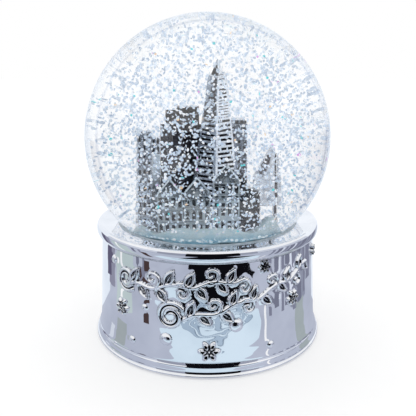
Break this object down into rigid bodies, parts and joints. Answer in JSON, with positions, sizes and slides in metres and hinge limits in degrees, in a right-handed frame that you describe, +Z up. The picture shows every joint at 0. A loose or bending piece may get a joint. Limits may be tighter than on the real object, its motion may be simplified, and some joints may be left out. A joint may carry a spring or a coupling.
{
  "type": "musical snow globe",
  "caption": "Musical snow globe with a silvered miniature city under clear liquid, on a round chrome-plated base with a wind-up movement inside.",
  "frame": {"origin": "on the table, under the centre of the base", "axes": "+Z up along the axis of the base and the globe, -Y towards the viewer that the city faces"},
  "size_m": [0.1, 0.1, 0.1323],
  "materials": {
    "chrome_plating": "mirror-bright plating over a casting with raised ornament",
    "silvered_casting": "bright silver plating on small castings",
    "globe_glass": "clear blown glass",
    "liquid": "clear liquid",
    "glitter": "thin pearly plastic flakes",
    "snow": "cast resin painted as snow",
    "sealant": "cured adhesive",
    "stopper_rubber": "moulded rubber",
    "felt": "pressed felt",
    "plate_paint": "black satin paint",
    "zinc_casting": "bare die casting",
    "brass": "turned brass",
    "steel": "bright steel"
  },
  "bodies": {
    "base": {"base_shell": "chrome_plating", "felt_ring": "felt", "base_plate": "plate_paint", "plate_screw_1": "steel", "plate_screw_2": "steel", "plate_screw_3": "steel", "movement_screw_1": "steel", "movement_screw_2": "steel", "movement_screw_3": "steel", "glass_globe": "globe_glass", "liquid_fill": "liquid", "globe_seal": "sealant", "stopper": "stopper_rubber", "glitter_drift": "glitter", "snow_mound": "snow", "spire_tower": "silvered_casting", "left_tower": "silvered_casting", "centre_block": "silvered_casting", "right_block": "silvered_casting", "wedge_building": "silvered_casting", "low_block": "silvered_casting", "row_house_1": "silvered_casting", "row_house_2": "silvered_casting", "row_house_3": "silvered_casting", "bedplate": "zinc_casting", "barrel_bridge": "steel", "bridge_screw_1": "steel", "bridge_screw_2": "steel", "comb": "steel", "comb_screw_1": "steel", "comb_screw_2": "steel", "governor_bracket": "zinc_casting"},
    "winding": {"winding_arbor": "steel", "winding_key": "chrome_plating"},
    "barrel": {"spring_barrel": "brass", "barrel_cover": "brass", "mainspring": "steel"},
    "cylinder": {"pinned_cylinder": "brass"},
    "governor": {"governor_wheel": "brass"},
    "fly": {"fly_shaft": "steel"}
  },
  "joints": [
    {"name": "key_wind", "type": "hinge", "parent": "base", "child": "winding", "pos_m": [-0.013, 0, 0], "axis": [0, 0, 1], "continuous": true},
    {"name": "barrel_turn", "type": "hinge", "parent": "base", "child": "barrel", "pos_m": [-0.013, 0, 0], "axis": [0, 0, 1], "continuous": true},
    {"name": "cylinder_turn", "type": "hinge", "parent": "base", "child": "cylinder", "pos_m": [0, 0, 0.0225], "axis": [1, 0, 0], "continuous": true},
    {"name": "governor_turn", "type": "hinge", "parent": "base", "child": "governor", "pos_m": [0, 0.008, 0.0225], "axis": [1, 0, 0], "continuous": true},
    {"name": "fly_spin", "type": "hinge", "parent": "base", "child": "fly", "pos_m": [0.025, 0.0122, 0], "axis": [0, 0, 1], "continuous": true}
  ],
  "couplings": [
    {"joint": "cylinder_turn", "follows": "barrel_turn", "ratio": 3},
    {"joint": "governor_turn", "follows": "barrel_turn", "ratio": -12},
    {"joint": "fly_spin", "follows": "barrel_turn", "ratio": 192}
  ]
}
